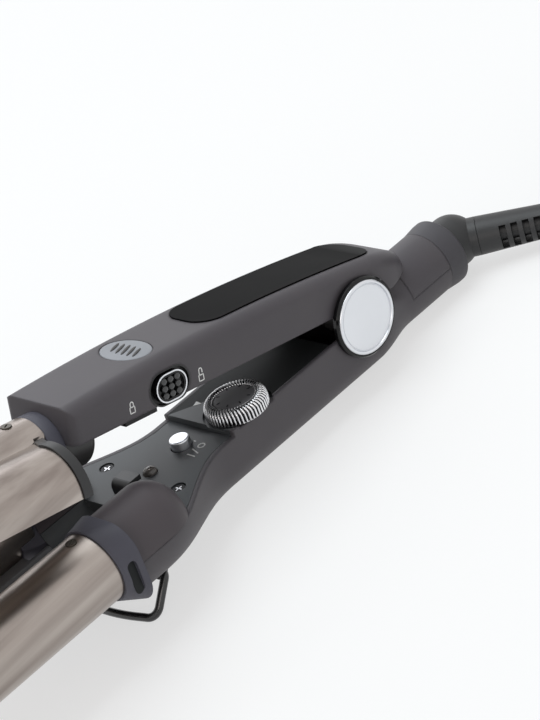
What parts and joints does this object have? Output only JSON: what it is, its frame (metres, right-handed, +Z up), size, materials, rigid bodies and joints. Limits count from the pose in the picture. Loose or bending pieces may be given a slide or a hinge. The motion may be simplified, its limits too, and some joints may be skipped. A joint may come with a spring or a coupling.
{
  "type": "hair waver",
  "caption": "Triple barrel hair waver with a sprung hinged press plate, slide lock, temperature dial, power button, wire stand and mains cord.",
  "frame": {"origin": "middle of the tool's footprint on the table, measured without the cord and its strain relief", "axes": "+X towards the tail and the cord, +Y towards the side without the slide lock, +Z up"},
  "size_m": [0.4504, 0.1287, 0.1022],
  "materials": {
    "charcoal_shell": "soft-touch moulded, satin",
    "black_plastic": "moulded, matt",
    "grey_plastic": "heat-resistant moulded, satin",
    "gloss_black": "polished",
    "titanium_barrel": "satin titanium-coloured coating",
    "bright_silver": "bright plated",
    "silver_button": "metallised",
    "lens": "clear moulded lens",
    "steel": "plain",
    "black_wire": "black coated wire",
    "heater_ceramic": "sintered",
    "circuit_board": "printed board",
    "cord_rubber": "moulded, matt",
    "plug_pin_metal": "nickel-plated"
  },
  "bodies": {
    "root": {"lower_shell": "charcoal_shell", "control_panel": "charcoal_shell", "dial_deck": "charcoal_shell", "tail_upper_shell": "charcoal_shell", "tail_collar": "black_plastic", "near_barrel_dome": "charcoal_shell", "far_barrel_dome": "charcoal_shell", "near_barrel_collar": "black_plastic", "far_barrel_collar": "black_plastic", "near_barrel": "titanium_barrel", "far_barrel": "titanium_barrel", "near_barrel_tip": "black_plastic", "far_barrel_tip": "black_plastic", "near_heater": "heater_ceramic", "far_heater": "heater_ceramic", "heat_shield": "grey_plastic", "latch_hook": "black_plastic", "status_lamp": "lens", "control_board": "circuit_board", "power_switch_body": "black_plastic", "temperature_control": "black_plastic", "panel_screws": "steel", "lower_barrel_screws": "steel", "pivot_pin": "steel", "near_pivot_ring": "gloss_black", "far_pivot_ring": "gloss_black", "near_pivot_cap": "bright_silver", "far_pivot_cap": "bright_silver", "jaw_spring": "steel", "cord_lead": "cord_rubber", "cord_coil": "cord_rubber", "coil_tie": "black_plastic", "cord_end": "cord_rubber", "plug_body": "cord_rubber", "plug_pins": "plug_pin_metal"},
    "upper_arm": {"upper_shell": "charcoal_shell", "upper_cover": "charcoal_shell", "upper_screws": "steel", "upper_hinge_block": "black_plastic", "slider_recess": "black_plastic", "badge_plate": "gloss_black", "thumb_emblem": "gloss_black", "middle_barrel_collar": "grey_plastic", "middle_barrel": "titanium_barrel", "middle_barrel_tip": "black_plastic", "middle_heater": "heater_ceramic", "middle_barrel_screw": "steel", "press_plate": "titanium_barrel", "press_plate_end_frame": "black_plastic", "press_plate_tip_frame": "black_plastic"},
    "lock_slider": {"lock_slider": "black_plastic"},
    "temperature_dial": {"temperature_dial": "bright_silver", "dial_cap": "gloss_black"},
    "power_button": {"power_button": "silver_button"},
    "bail_stand": {"bail_stand": "black_wire"},
    "cord_swivel": {"cord_swivel": "cord_rubber", "strain_relief": "cord_rubber"}
  },
  "joints": [
    {"name": "jaw_hinge", "type": "hinge", "parent": "root", "child": "upper_arm", "pos_m": [0.09325, 0, 0.02485], "axis": [0, -1, 0], "range_deg": [0, 12.3], "stiffness_Nm_per_rad": 0.9, "springref_deg": -25.78},
    {"name": "lock_slide", "type": "slide", "parent": "upper_arm", "child": "lock_slider", "axis": [-0.9622, 0, 0.2724], "range_m": [-0.0012, 0.0012]},
    {"name": "temperature_dial_turn", "type": "hinge", "parent": "root", "child": "temperature_dial", "pos_m": [0.04431, -0.0071, 0.02558], "axis": [0.0577, 0, 0.9983], "range_deg": [-135, 135]},
    {"name": "power_button_press", "type": "slide", "parent": "root", "child": "power_button", "axis": [-0.0577, 0, -0.9983], "range_m": [0, 0.0012], "stiffness_N_per_m": 400, "springref_m": -0.001},
    {"name": "stand_fold", "type": "hinge", "parent": "root", "child": "bail_stand", "pos_m": [-0.00922, 0, 0.01114], "axis": [0, -1, 0], "range_deg": [0, 125]},
    {"name": "cord_swivel_turn", "type": "hinge", "parent": "root", "child": "cord_swivel", "pos_m": [0.14853, 0, 0.01083], "axis": [-0.9983, 0, 0.0577], "continuous": true}
  ]
}
